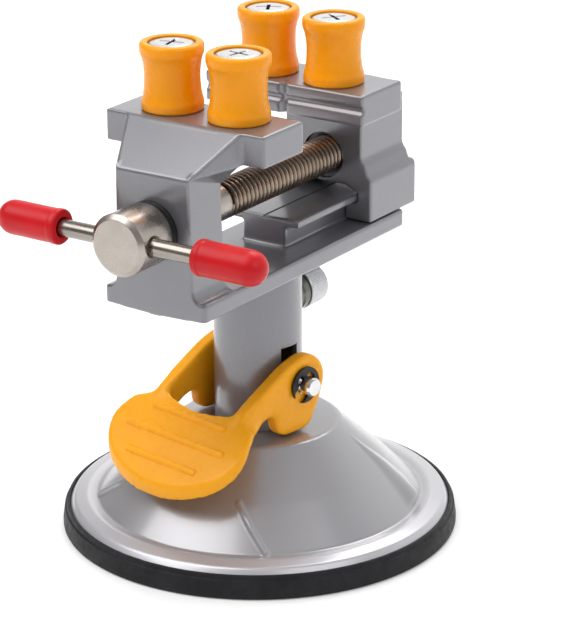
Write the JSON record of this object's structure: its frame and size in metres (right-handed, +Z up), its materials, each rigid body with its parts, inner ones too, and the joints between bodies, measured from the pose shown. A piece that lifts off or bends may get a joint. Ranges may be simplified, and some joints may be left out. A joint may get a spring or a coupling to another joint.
{
  "type": "suction base vise",
  "caption": "Small bench vise on a swivelling post with a lever-operated suction base, a lead screw with tommy bar and waisted pegs on both jaws.",
  "frame": {"origin": "centre of the suction pad on the bench, under the axis of the post", "axes": "+Z up along the post; +Y from the screw's head towards the moving jaw; +X to the right, along the tommy bar"},
  "size_m": [0.125, 0.135, 0.1595],
  "materials": {
    "silver_paint": "fine metallic silver paint, satin",
    "orange_plastic": "moulded orange plastic, semi-gloss",
    "red_vinyl": "dipped red vinyl, satin",
    "nickel_steel": "turned steel with a warm nickel plate",
    "zinc_steel": "bright zinc plate",
    "chrome_steel": "bright plate",
    "black_rubber": "matte black rubber",
    "black_steel": "blackened steel"
  },
  "bodies": {
    "base": {"suction_pad": "black_rubber", "dome_plate": "silver_paint", "post": "silver_paint", "clamp_nut": "zinc_steel"},
    "clamp": {"clamp_screw": "zinc_steel"},
    "lift": {"pad_plate": "zinc_steel", "pull_stud": "zinc_steel", "lever_pin": "chrome_steel", "pin_clips": "black_steel"},
    "lever": {"cam_lever": "orange_plastic"},
    "head": {"vise_body": "silver_paint", "spindle_washer": "black_steel", "peg_front_left": "orange_plastic", "peg_front_right": "orange_plastic", "peg_screws_front": "chrome_steel"},
    "spindle": {"lead_screw": "nickel_steel", "snap_ring": "black_steel"},
    "bar": {"tommy_bar": "nickel_steel", "bar_cap_left": "red_vinyl", "bar_cap_right": "red_vinyl"},
    "jaw": {"moving_jaw": "silver_paint", "peg_rear_left": "orange_plastic", "peg_rear_right": "orange_plastic", "peg_screws_rear": "chrome_steel"}
  },
  "joints": [
    {"name": "head_swivel", "type": "hinge", "parent": "base", "child": "head", "pos_m": [0, 0, 0.084], "axis": [0, 0, 1], "continuous": true},
    {"name": "clamp_turn", "type": "hinge", "parent": "base", "child": "clamp", "pos_m": [0, 0.0133, 0.0698], "axis": [0, -1, 0], "range_deg": [-1080, 0]},
    {"name": "pin_lift", "type": "slide", "parent": "base", "child": "lift", "axis": [0, 0, -1], "range_m": [0, 0.0046], "deforming": ["suction_pad"]},
    {"name": "lever_turn", "type": "hinge", "parent": "lift", "child": "lever", "pos_m": [0, 0, 0.05], "axis": [-0.9848, 0.1736, 0], "range_deg": [0, 70]},
    {"name": "spindle_turn", "type": "hinge", "parent": "head", "child": "spindle", "pos_m": [0, -0.0651, 0.1104], "axis": [0, 1, 0], "range_deg": [-2050, 5270]},
    {"name": "bar_slide", "type": "slide", "parent": "spindle", "child": "bar", "axis": [1, 0, 0], "range_m": [-0.015, 0.0138]},
    {"name": "jaw_slide", "type": "slide", "parent": "head", "child": "jaw", "axis": [0, 1, 0], "range_m": [-0.0308, 0.012]}
  ],
  "couplings": [
    {"joint": "pin_lift", "follows": "lever_turn", "m_per_rad": 0.00375},
    {"joint": "jaw_slide", "follows": "spindle_turn", "m_per_rad": -0.00033423}
  ]
}
